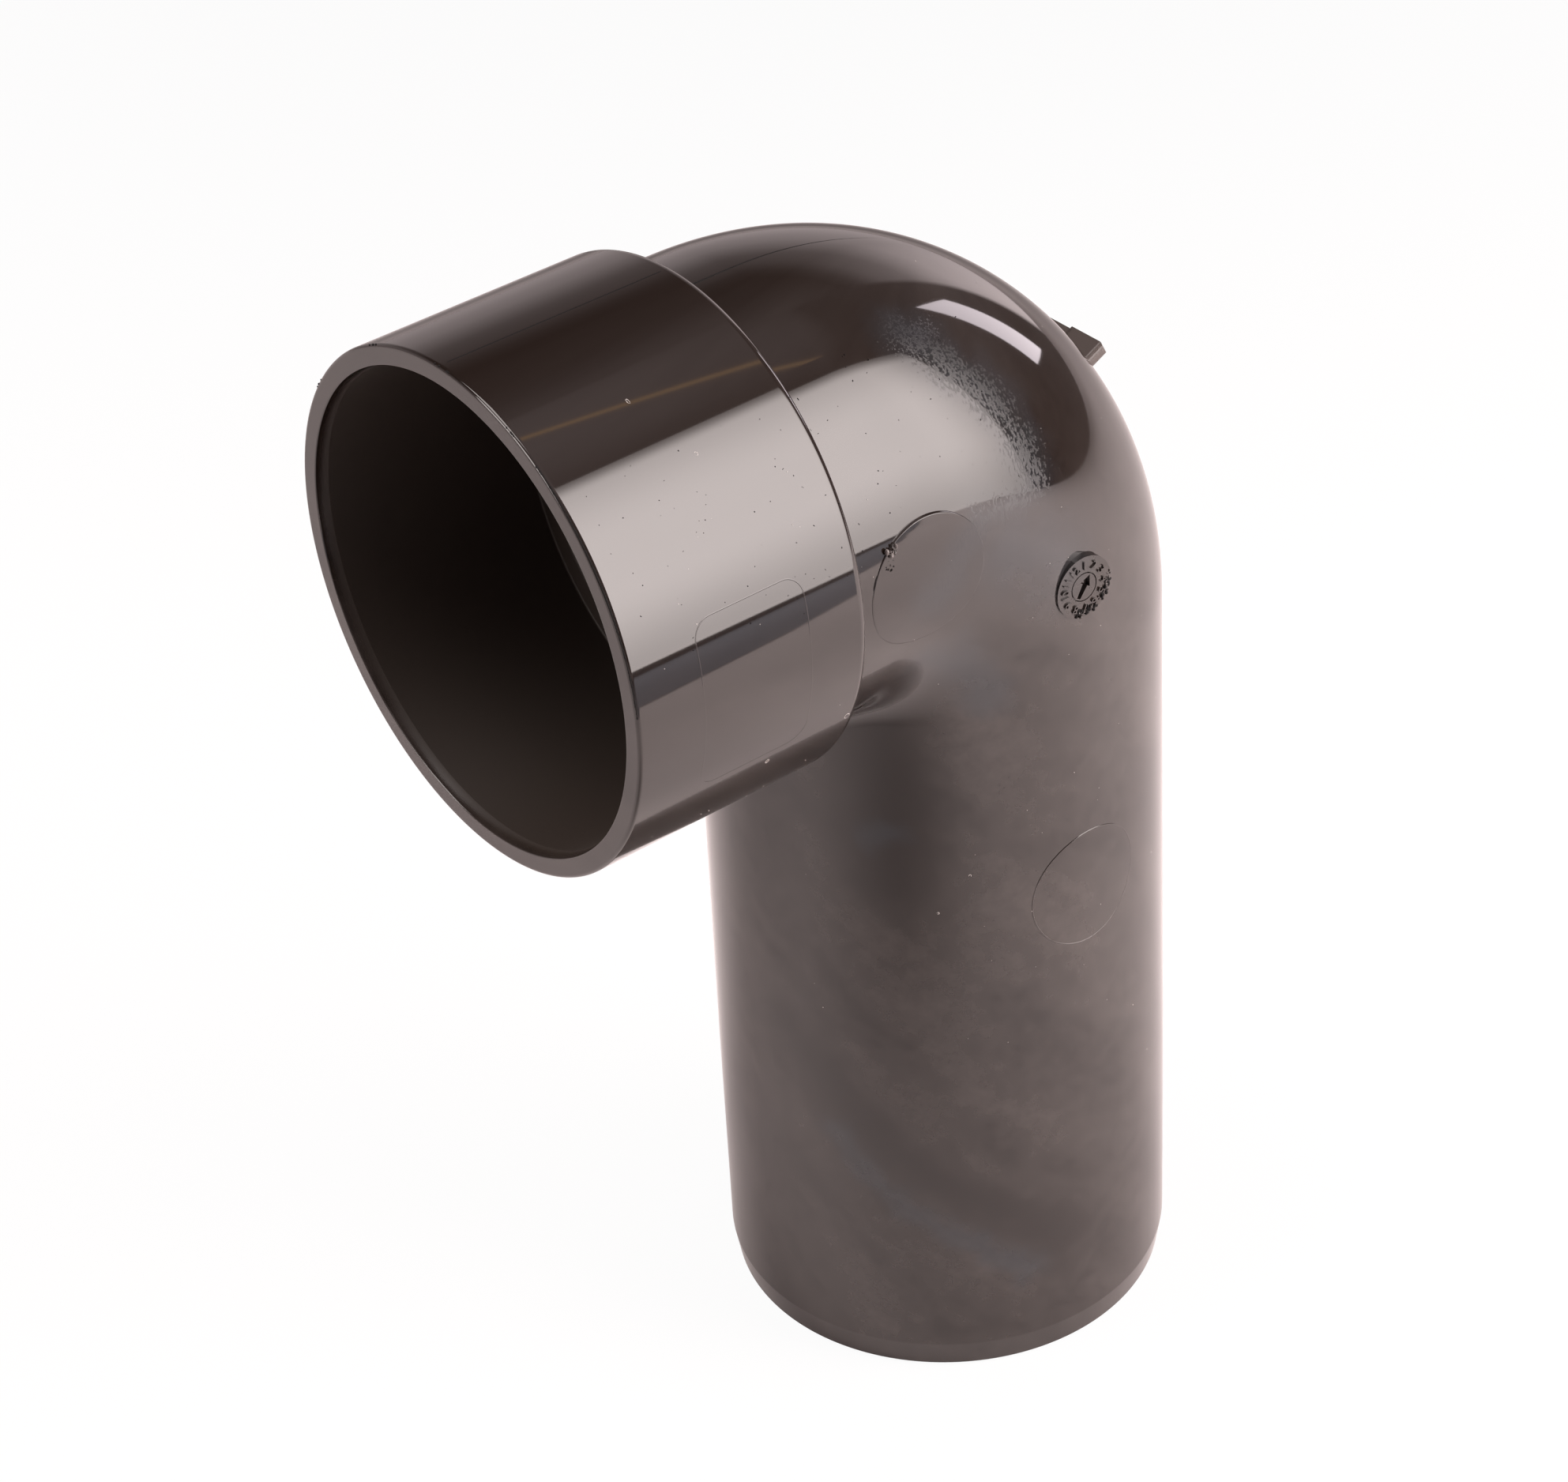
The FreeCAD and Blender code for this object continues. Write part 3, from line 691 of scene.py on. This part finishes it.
# One number for each turn of the loop, raised, moved out to the ring and swung round.
start = addNode(tree, "GeometryNodeRepeatInput")
end = addNode(tree, "GeometryNodeRepeatOutput")
start.pair_with_output(end)
tree.links.new(want["Numbers"], start.inputs["Iterations"])
value = addNode(tree, "FunctionNodeIntegerMath", [start.outputs["Iteration"], 1], operation="ADD")
digits = addNode(tree, "FunctionNodeValueToString", {"Value": value}, data_type="INT")
words = addNode(tree, "GeometryNodeStringToCurves", {
    "String": digits, "Size": want["Number Size"]}, align_x="CENTER", align_y="MIDDLE")
words = addNode(tree, "GeometryNodeRealizeInstances", {"Geometry": words.outputs["Curve Instances"]})
filled = addNode(tree, "GeometryNodeFillCurve", {"Curve": words})
rise = addNode(tree, "ShaderNodeCombineXYZ", {"Z": want["Relief"]})
raised = addNode(tree, "GeometryNodeExtrudeMesh", {
    "Mesh": filled, "Offset": rise, "Offset Scale": 1.0, "Individual": False})
out = addNode(tree, "ShaderNodeCombineXYZ", {"Y": want["Number Ring"]})
moved = addNode(tree, "GeometryNodeTransform", {"Geometry": raised, "Translation": out})
share = addNode(tree, "ShaderNodeMath", [-math.tau, want["Numbers"]], operation="DIVIDE")
angle = addNode(tree, "ShaderNodeMath", [start.outputs["Iteration"], share], operation="MULTIPLY")
swing = addNode(tree, "ShaderNodeCombineXYZ", {"Z": angle})
spun = addNode(tree, "GeometryNodeTransform", {"Geometry": moved, "Rotation": swing})
gathered = addNode(tree, "GeometryNodeJoinGeometry")
tree.links.new(spun.outputs[0], gathered.inputs[0])
tree.links.new(start.outputs["Geometry"], gathered.inputs[0])
tree.links.new(gathered.outputs[0], end.inputs["Geometry"])
everything = addNode(tree, "GeometryNodeJoinGeometry")
for part in (face, walls, under, end):
    tree.links.new(part.outputs[0], everything.inputs[0])
endTree(tree, want, everything, smooth=False)

aim = Matrix.Rotation(math.radians(dialPlace["arrowTurn"]), 3, "Z")
slot = polyline("dialArrow", [aim @ Vector((x, y, 0)) * mm for x, y in arrowShape], closed=True)
dial = runTree("dateDial", slot, tree, dialSizes, mouldedAbs)
outward = Vector(dialPlace["normal"]).normalized()
rightward = Vector((0, 0, 1)).cross(outward).normalized()
matrix = Matrix((rightward, outward.cross(rightward), outward)).transposed().to_4x4()
matrix.translation = Vector(dialPlace["centre"]) * mm
dial.data.transform(matrix)
joinBend(dial)
print("date dial made")

# Crumbs: lumps of torn plastic, or dust, one on each point of a mesh, each with its own size and turn.
# One that is thrown and misses the skin is left out.
crumbSizes = {"Skin": pipe, "Direction": unthrown, "Size": 0.0001, "Vary": 0.5, "Stretch": 1.5, "Seed": 1}
tree, want = newTree("crumbs", crumbSizes)
hit = throwOnSkin(tree, want, reach=0.2)
laid = addNode(tree, "GeometryNodeSetPosition", {
    "Geometry": want["Geometry"], "Selection": hit["Is Hit"], "Position": hit["Hit Position"]})
aimed = addNode(tree, "ShaderNodeVectorMath", [want["Direction"]], operation="LENGTH")
thrown = addNode(tree, "FunctionNodeCompare", [aimed.outputs["Value"], 0.5], operation="GREATER_THAN")
missed = addNode(tree, "FunctionNodeBooleanMath", [thrown, hit["Is Hit"]], operation="NIMPLY")
laid = addNode(tree, "GeometryNodeDeleteGeometry", {"Geometry": laid, "Selection": missed})
lump = addNode(tree, "GeometryNodeMeshIcoSphere", {"Radius": want["Size"], "Subdivisions": 2})
least = addNode(tree, "ShaderNodeMath", [1.0, want["Vary"]], operation="SUBTRACT")
most = addNode(tree, "ShaderNodeMath", [1.0, want["Vary"]], operation="ADD")
longest = addNode(tree, "ShaderNodeMath", [most, want["Stretch"]], operation="MULTIPLY")
smallest = addNode(tree, "ShaderNodeCombineXYZ", {"X": least, "Y": least, "Z": least})
largest = addNode(tree, "ShaderNodeCombineXYZ", {"X": longest, "Y": most, "Z": most})
scale = addNode(tree, "FunctionNodeRandomValue", {
    "Min": smallest, "Max": largest, "Seed": want["Seed"]}, data_type="FLOAT_VECTOR")
spin = addNode(tree, "FunctionNodeRandomValue", {
    "Max": (math.tau,) * 3, "Seed": want["Seed"]}, data_type="FLOAT_VECTOR")
endTree(tree, want, addNode(tree, "GeometryNodeInstanceOnPoints", {
    "Points": laid, "Instance": lump, "Rotation": spin, "Scale": scale}), smooth=False)
crumbTree = tree
chance = random.Random(7)


def crumbs(name, points, size, finish, direction=unthrown, vary=0.5, stretch=1.5, seed=1):
    mesh = polyline(name + "Spots", [Vector(point) * mm for point in points])
    sizes = {"Skin": pipe, "Direction": direction, "Size": size * mm, "Vary": vary, "Stretch": stretch,
             "Seed": seed}
    joinBend(runTree(name, mesh, crumbTree, sizes, finish))


# The dial's lower right edge was torn when it left the mould.
burr = {"from": -116, "to": 12, "near": 2.25, "far": 2.95, "count": 70, "matt": 42}
points = []
for k in range(burr["count"]):
    angle = math.radians(chance.uniform(burr["from"], burr["to"]))
    reach = chance.uniform(burr["near"], burr["far"])
    out = dialPlace["centre"][0] + chance.uniform(-0.05, 0.1)
    points.append(sidePoint(dialPlace["centre"][1:], reach, angle, out))
# The matt crumbs are dark as painted shade on the torn burr; the glossy ones catch the light.
crumbs("dialBurr", points[:burr["matt"]], 0.16, tornMattAndShadeAbs, seed=3)
crumbs("dialBurrGloss", points[burr["matt"]:], 0.13, mouldedAbs, seed=4)

# A knot of plastic at the edge of the upper insert, its pale crumbs a painted highlight, and a torn patch
# under it whose dark crumbs are painted shade below the knot.
points = [(20.95 + chance.uniform(-0.1, 0.15), -20.6 + chance.gauss(0, 0.32), 98.3 + chance.gauss(0, 0.28))
          for k in range(14)]
crumbs("insertKnot", points[:8], 0.17, knotHighlightAbs, seed=5)
crumbs("insertKnotGloss", points[8:], 0.15, mouldedAbs, seed=5)
points = [(beside, -20.9 + chance.gauss(0, 0.3), 97.2 + chance.gauss(0, 0.4)) for k in range(14)]
crumbs("insertTear", points, 0.08, tornMattAndShadeAbs, direction=fromSide, seed=6)

# Ragged flash along the lip's outer edge: thick on the +X side, with a chip here and there.
flash = {  # degrees round the lip from +X, and millimetres
    "from": 4, "to": 58,
    "count": 220,
    "radius": socketRadius - 0.07,
    "y": 0.1 - mouthAt,
    "chips": ((52, 1.6), (33, 4), (22, 4), (12, 5), (66, 3), (88, 2.2), (91, 1.5), (114, 2.5), (145, 3)),
    "chipInset": 0.02,
}


def lipPoint(radius, angle, y):
    return (radius * math.cos(angle), y, axisHeight + radius * math.sin(angle))


points, widths = [], []
for k in range(flash["count"]):
    angle = math.radians(flash["from"] + (flash["to"] - flash["from"]) * k / (flash["count"] - 1))
    reach = flash["radius"] + chance.uniform(-0.03, 0.0)
    points.append(lipPoint(reach, angle, flash["y"] + chance.uniform(0.0, 0.02)))
    widths.append(0.45 + 0.55 * chance.random() ** 2)
# The flash's dark matt finish is painted shade along the torn edge, and so is the chips'.
surfaceLine("lipFlash", points, 0.1, 0.0, direction=unthrown, widths=widths, finish=tornMattAndShadeAbs)
points = [lipPoint(flash["radius"] - flash["chipInset"], math.radians(chance.gauss(middle, spread / 2)),
                   flash["y"] + flash["chipInset"]) for middle, spread in flash["chips"] for k in range(5)]
crumbs("lipChips", points, 0.09, tornMattAndShadeAbs, vary=0.25, stretch=1.0, seed=8)

# Lint: a few curled fibres and a scatter of specks. Each fibre has its start, by Y and height, and its size.
fibres = {
    "fibreShoulder": ((-26.4, 84.9), 0.42),
    "fibreSocketLow": ((-34.6, 84.3), 0.4),
    "fibreSocketHigh": ((-36.1, 111.9), 0.17),
    "fibreSocketTop": ((-38.6, 115.4), 0.2),
    "fibreInsert": ((-13.5, 54.9), 0.16),
    "fibreSpigot": ((-11.0, 58.6), 0.16),
}
fibrePoints = 14
for name, (here, size) in fibres.items():
    heading = chance.uniform(0, 360)
    curl = []
    for k in range(fibrePoints):
        heading += chance.uniform(5, 48)
        here = sidePoint(here, size * 0.28, math.radians(heading))[1:]
        curl.append((beside, *here))
    surfaceLine(name, curl, 0.02 + 0.012 * size, -0.01, widths=taper(fibrePoints), finish=lint)
specks = 110  # of dust, and as many dark ones
points = [(beside, chance.uniform(-46, 18), chance.uniform(20, 114)) for k in range(specks)]
points = [(x, y, z) for x, y, z in points if y > -shoulderAt or abs(z - axisHeight) > 2.6]
crumbs("dust", points, 0.028, lint, direction=fromSide, vary=0.6, stretch=1.6, seed=9)
points = [(beside, chance.uniform(-47, -4), chance.uniform(97.5, 113)) for k in range(specks)]
crumbs("darkSpecks", points, 0.035, tornMattAndShadeAbs, direction=fromSide, vary=0.6, stretch=2.5, seed=10)
print("crumbs, flash and lint made")


# Studio: a white table, a softbox on the +X side, a strip lamp behind and a lamp overhead, in a dark room.

def seenDirect(tree):
    # One for what the camera sees of the room itself, nothing for what the gloss shows of it.
    ray = addNode(tree, "ShaderNodeLightPath").outputs
    return addNode(tree, "ShaderNodeMath", [ray["Is Camera Ray"], ray["Is Transmission Ray"]],
                   operation="MAXIMUM")


def paperMaterial(name, color, glow, lightAndShadeSpots=()):
    # Matt paper that keeps the shadow; for the camera a share of plain white is mixed in. Each spot is
    # painted light and shade, a soft darker spot or, where it takes away less than nothing, a lighter one:
    # its place, its reach and how much it takes away.
    material = bpy.data.materials.new(name)
    tree = emptyTree(material)
    shade = 1.0
    place = addNode(tree, "ShaderNodeTexCoord").outputs["Object"]
    for x, y, reach, drop in lightAndShadeSpots:
        away = addNode(tree, "ShaderNodeVectorMath", [place, (x, y, 0.0)], operation="DISTANCE")
        share = away.outputs["Value"]
        for operation, value in (("DIVIDE", reach), ("POWER", 2.0), ("MULTIPLY", -1.0), ("EXPONENT", 0.0)):
            share = addNode(tree, "ShaderNodeMath", [share, value], operation=operation)
        left = addNode(tree, "ShaderNodeMath", [share, -drop, 1.0], operation="MULTIPLY_ADD")
        shade = addNode(tree, "ShaderNodeMath", [shade, left], operation="MULTIPLY")
    paintedLightColor = addNode(tree, "ShaderNodeMix", {
        0: shade, 6: (0, 0, 0, 1), 7: linearColor(color)}, data_type="RGBA")
    matt = addNode(tree, "ShaderNodeBsdfDiffuse", {"Color": paintedLightColor.outputs[2]})
    share = addNode(tree, "ShaderNodeMath", [seenDirect(tree), glow], operation="MULTIPLY")
    white = addNode(tree, "ShaderNodeEmission", {"Color": (1, 1, 1, 1), "Strength": 1.0})
    surface = addNode(tree, "ShaderNodeMixShader", [share, matt, white])
    addNode(tree, "ShaderNodeOutputMaterial", {"Surface": surface})
    return material


def stageSheet(name, corners, material):
    mesh = bpy.data.meshes.new(name)
    mesh.from_pydata(corners, [], [range(len(corners))])
    sheet = newPiece(name, mesh, material)
    return sheet


def facing(setup):
    # Which way a lamp or the camera looks: from this azimuth, from -Y toward +X, and this elevation.
    azimuth, elevation, roll = (math.radians(setup[angle]) for angle in ("azimuth", "elevation", "roll"))
    toward = Vector((math.sin(azimuth) * math.cos(elevation), -math.cos(azimuth) * math.cos(elevation),
                     math.sin(elevation)))
    level = Vector((math.cos(azimuth), math.sin(azimuth), 0))
    upward = toward.cross(level)
    right = math.cos(roll) * level + math.sin(roll) * upward
    top = math.cos(roll) * upward - math.sin(roll) * level
    return Matrix((right, top, toward)).transposed().to_4x4()


# The table lies square to the camera: its right edge is near, and shows in the gloss.
table = {  # metres and degrees
    "turn": 53.2,
    "left": -1.2, "right": 0.54, "near": -1.2, "far": 0.9,
    "height": -0.0002,
    # Painted light and shade on the paper: painted shadows and light falling off away from the softbox, and
    # one lighter spot near it, a painted pool of light.
    "lightAndShadeSpots": [(-0.32, 0.25, 0.27, 0.78), (0.24, 0.69, 0.365, 0.68), (0.064, -0.087, 0.047, 0.48),
              (0.165, 0.065, 0.085, -0.36)],
    "card": [(0.205, -0.25), (0.50, -0.25), (0.50, 0.24), (0.47, 0.30), (0.36, 0.235), (0.262, 0.138),
             (0.222, 0.095), (0.212, 0.064)],
    "cardHeight": 0.001,
}
turn = math.radians(table["turn"])
floorCorners = []
for right, ahead in (("left", "near"), ("right", "near"), ("right", "far"), ("left", "far")):
    right, ahead = table[right], table[ahead]
    floorCorners.append((right * math.cos(turn) - ahead * math.sin(turn),
                         right * math.sin(turn) + ahead * math.cos(turn), table["height"]))
stageSheet("floor", floorCorners, paperMaterial("floorPaper", "#f7f1f1", 0.94, table["lightAndShadeSpots"]))
card = stageSheet("greyCard", [(x, y, table["cardHeight"]) for x, y in table["card"]],
                  paperMaterial("greyCard", "#8f96a0", 0.0))
card.visible_camera = False

# Metres and degrees. Level is the brightness of the lamp's face, where lit white paper is 1. It falls toward
# the edges: an axis of the face, from and to on it, and the share of the level there.
lampColor = "#fff4f1"
lamps = [
    {"name": "softbox", "centre": (0.307, 0.320, 0.303), "azimuth": 99.5, "elevation": 17.0, "roll": -9.5,
     "width": 0.426, "height": 0.640, "level": 9.5, "falls": [
         ("X", 0.0, 0.5, 1.12, 1.0), ("X", 0.5, 1.0, 1.0, 0.55), ("Y", 0.0, 0.35, 0.64, 1.0),
         ("Y", 0.55, 1.0, 1.0, 0.72), ("Y", 0.88, 1.0, 1.0, 0.25)]},
    {"name": "overhead", "centre": (-0.22, -0.28, 0.95), "azimuth": -38.0, "elevation": 69.0, "roll": 0.0,
     "width": 0.5, "height": 0.5, "level": 6.0},
    {"name": "fill", "centre": (-0.25, -0.75, 0.40), "azimuth": -18.4, "elevation": 23.0, "roll": 0.0,
     "width": 0.4, "height": 0.4, "level": 7.0},
]
for setup in lamps:
    light = bpy.data.lights.new(setup["name"], "AREA")
    light.shape = "RECTANGLE"
    light.size, light.size_y = setup["width"], setup["height"]
    light.energy = setup["level"] * math.pi * setup["width"] * setup["height"]
    light.color = linearColor(lampColor)[:3]
    if "falls" in setup:
        tree = emptyTree(light)
        spot = addNode(tree, "ShaderNodeNewGeometry").outputs["Parametric"]
        spot = addNode(tree, "ShaderNodeSeparateXYZ", [spot]).outputs
        fade = 1.0
        for axis, start, end, first, last in setup["falls"]:
            ramp = addNode(tree, "ShaderNodeMapRange", [spot[axis], start, end, first, last],
                           interpolation_type="SMOOTHSTEP")
            fade = addNode(tree, "ShaderNodeMath", [fade, ramp], operation="MULTIPLY")
        glow = addNode(tree, "ShaderNodeEmission", {"Strength": fade})
        addNode(tree, "ShaderNodeOutputLight", {"Surface": glow})
    lamp = newPiece(setup["name"], light)
    lamp.visible_camera = False
    lamp.matrix_world = facing(setup)
    lamp.location = setup["centre"]

# A strip lamp behind, and the gilt edge of a lamp's frame high up behind it: a glowing sheet, painted light
# standing for the edge where light catches it.
shining = {
    "stripLamp": {"color": "#fff2f8", "level": 5.6, "corners": [
        (-0.020, 0.6, 0.146), (-0.112, 0.6, 0.109), (-0.152, 0.6, 0.337), (-0.086, 0.6, 0.461)]},
    "giltEdge": {"color": "#ffd0a0", "level": 1.9, "corners": [
        (-0.06, 0.372, 0.951), (-0.06, 0.372, 0.930), (0.17, 0.43, 0.800), (0.17, 0.43, 0.817)]},
}
for name, setup in shining.items():
    shine = bpy.data.materials.new(name + "Glow")
    tree = emptyTree(shine)
    glow = addNode(tree, "ShaderNodeEmission", {
        "Color": linearColor(setup["color"]), "Strength": setup["level"]})
    addNode(tree, "ShaderNodeOutputMaterial", {"Surface": glow})
    stageSheet(name, setup["corners"], shine).visible_camera = False

# The room: white behind the object for the camera, and otherwise dark, with a grey wall on the -X side.
# Each list has an angle in degrees and the level there.
room = {
    "behind": [(-8, 0.13), (3, 0.13), (15, 0.27), (30, 0.22), (45, 0.18), (52, 0.20), (62, 0.62)],
    "side": [(-12, 0.9), (-2, 1.0), (9, 1.0), (15, 0.8), (21, 0.5), (28, 0.38), (34, 0.15), (38, 0.08),
             (62, 0.20)],
    "turnsAt": (21.5, 23.5),  # from +Y toward -X, where one gives way to the other
    "fall": [(26, 1.9), (33, 1.4), (41, 0.86), (58, 0.66), (80, 0.6)],  # of the side, the same way round
    "tint": (1.08, 0.92, 0.92),
}


def levelRamp(tree, source, levels):
    # Level against an angle, on a ramp from -90 to 90 degrees.
    ramp = addNode(tree, "ShaderNodeValToRGB", [source])
    points = ramp.color_ramp.elements
    while len(points) < len(levels):
        points.new(0.5)
    for point, (place, value) in zip(points, levels):
        point.position = (place + 90) / 180
        point.color = (value, value, value, 1)
    return ramp


world = bpy.data.worlds.new("studio")
bpy.context.scene.world = world
tree = emptyTree(world)
heading = addNode(tree, "ShaderNodeTexCoord").outputs["Generated"]
heading = addNode(tree, "ShaderNodeSeparateXYZ", [heading]).outputs
height = addNode(tree, "ShaderNodeMath", [heading["Z"]], operation="ARCSINE")
height = addNode(tree, "ShaderNodeMapRange", [height, -math.pi / 2, math.pi / 2])
leftward = addNode(tree, "ShaderNodeMath", [heading["X"], -1.0], operation="MULTIPLY")
turned = addNode(tree, "ShaderNodeMath", [leftward, heading["Y"]], operation="ARCTAN2")
turnsAt = [math.radians(angle) for angle in room["turnsAt"]]
side = addNode(tree, "ShaderNodeMapRange", [turned, *turnsAt])
swing = addNode(tree, "ShaderNodeMapRange", [turned, -math.pi / 2, math.pi / 2])
wall = [levelRamp(tree, height, room["side"]), levelRamp(tree, swing, room["fall"])]
wall = addNode(tree, "ShaderNodeVectorMath", wall, operation="MULTIPLY")
dark = addNode(tree, "ShaderNodeMix", {
    0: side, 6: levelRamp(tree, height, room["behind"]), 7: wall}, data_type="RGBA")
dark = addNode(tree, "ShaderNodeVectorMath", [dark.outputs[2], room["tint"]], operation="MULTIPLY")
shown = addNode(tree, "ShaderNodeMix", {0: seenDirect(tree), 6: dark, 7: (1, 1, 1, 1)}, data_type="RGBA")
light = addNode(tree, "ShaderNodeBackground", {"Color": shown.outputs[2], "Strength": 1.0})
addNode(tree, "ShaderNodeOutputWorld", {"Surface": light})

cameraSetup = {  # millimetres and degrees
    "position": (249.743, -203.952, 286.106),
    "azimuth": 53.182,
    "elevation": 35.115,
    "roll": -3.355,
    "lens": 97.772,
    "sensor": 36.0,
}
camera = newPiece("camera", bpy.data.cameras.new("camera"))
camera.data.lens = cameraSetup["lens"]
camera.data.sensor_width = cameraSetup["sensor"]
camera.data.clip_start = 0.01
camera.matrix_world = facing(cameraSetup)
camera.location = Vector(cameraSetup["position"]) * mm
bpy.context.scene.camera = camera
bpy.context.scene.view_settings.view_transform = "Standard"
print("studio ready")

bpy.context.view_layer.update()
